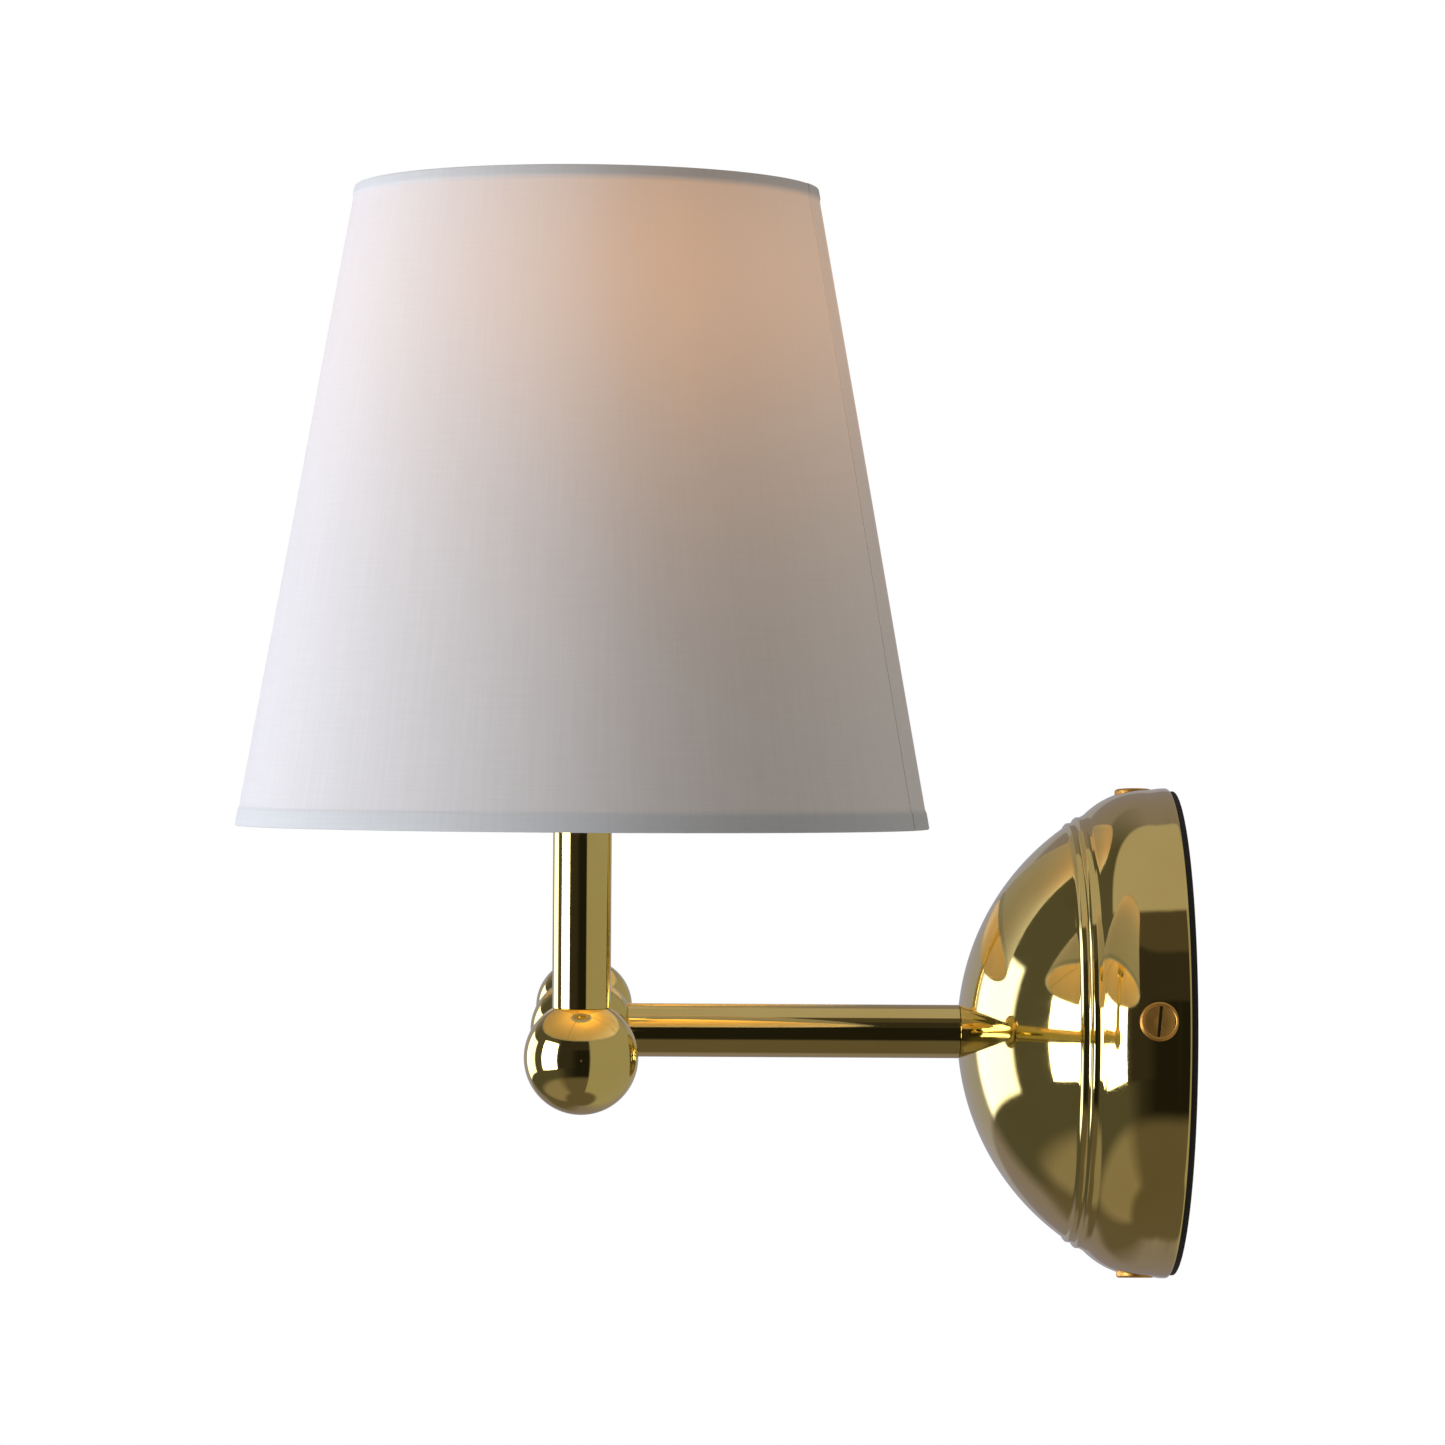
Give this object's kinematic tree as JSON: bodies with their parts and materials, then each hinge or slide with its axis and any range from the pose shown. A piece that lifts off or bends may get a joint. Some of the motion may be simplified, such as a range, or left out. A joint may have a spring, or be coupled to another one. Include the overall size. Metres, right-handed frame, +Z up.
{
  "type": "twin swing arm wall sconce",
  "caption": "Brass wall light: domed cover, one arm to a ball, two side arms that swing in it, each with a conical cloth shade over a bulb.",
  "frame": {"origin": "centre of the wall face, on the arm's axis", "axes": "+Y into the wall, +X to the right as seen from the room, along the side arms, +Z up"},
  "size_m": [0.3812, 0.2201, 0.2521],
  "materials": {
    "polished_brass": "polished",
    "plain_brass": "satin",
    "bush_bronze": "satin",
    "zinc_steel": "satin",
    "nickel_cap": "polished",
    "black_rubber": "matte",
    "white_plastic": "satin",
    "white_wire": "satin",
    "shade_lining": "matte",
    "shade_cloth": "matte",
    "bulb_glass": "frosted",
    "filament_rods": "gloss",
    "lead_sleeve": "satin"
  },
  "bodies": {
    "base": {"wall_bracket": "zinc_steel", "gasket": "black_rubber", "dome_cover": "polished_brass", "cover_screws": "polished_brass", "terminal_block": "white_plastic", "terminal_screws": "plain_brass", "earth_screw": "plain_brass", "lead_tails": "lead_sleeve"},
    "arm": {"arm_tube": "polished_brass", "arm_nipple": "plain_brass", "arm_washer": "zinc_steel", "arm_nut": "plain_brass", "ball_nipple": "plain_brass", "centre_ball": "polished_brass", "pivot_nipples": "plain_brass", "pivot_washers": "zinc_steel", "pivot_nuts": "plain_brass", "arm_leads": "lead_sleeve"},
    "right_arm": {"right_side_tube": "polished_brass", "right_pivot_bush": "bush_bronze", "right_end_nipple": "plain_brass", "right_end_ball": "polished_brass", "right_stem_nipple": "plain_brass", "right_stem_tube": "polished_brass", "right_holder_nipple": "plain_brass", "right_holder_cap": "polished_brass", "right_holder_body": "white_plastic", "right_screw_shell": "plain_brass", "right_centre_contact": "plain_brass", "right_shade_ring": "white_plastic", "right_shade_carrier": "white_wire", "right_shade_top_ring": "white_wire", "right_shade_liner": "shade_lining", "right_shade_cloth": "shade_cloth", "right_bulb_glass": "bulb_glass", "right_bulb_cap": "nickel_cap", "right_filament": "filament_rods", "right_lead": "lead_sleeve"},
    "left_arm": {"left_side_tube": "polished_brass", "left_pivot_bush": "bush_bronze", "left_end_nipple": "plain_brass", "left_end_ball": "polished_brass", "left_stem_nipple": "plain_brass", "left_stem_tube": "polished_brass", "left_holder_nipple": "plain_brass", "left_holder_cap": "polished_brass", "left_holder_body": "white_plastic", "left_screw_shell": "plain_brass", "left_centre_contact": "plain_brass", "left_shade_ring": "white_plastic", "left_shade_carrier": "white_wire", "left_shade_top_ring": "white_wire", "left_shade_liner": "shade_lining", "left_shade_cloth": "shade_cloth", "left_bulb_glass": "bulb_glass", "left_bulb_cap": "nickel_cap", "left_filament": "filament_rods", "left_lead": "lead_sleeve"}
  },
  "joints": [
    {"name": "arm_level", "type": "hinge", "parent": "base", "child": "arm", "pos_m": [0, -0.052, 0], "axis": [0, 1, 0], "range_deg": [-10, 10]},
    {"name": "right_arm_swing", "type": "hinge", "parent": "arm", "child": "right_arm", "pos_m": [0, -0.1435, 0], "axis": [1, 0, 0], "range_deg": [-25, 90]},
    {"name": "left_arm_swing", "type": "hinge", "parent": "arm", "child": "left_arm", "pos_m": [0, -0.1435, 0], "axis": [1, 0, 0], "range_deg": [-25, 90]}
  ]
}
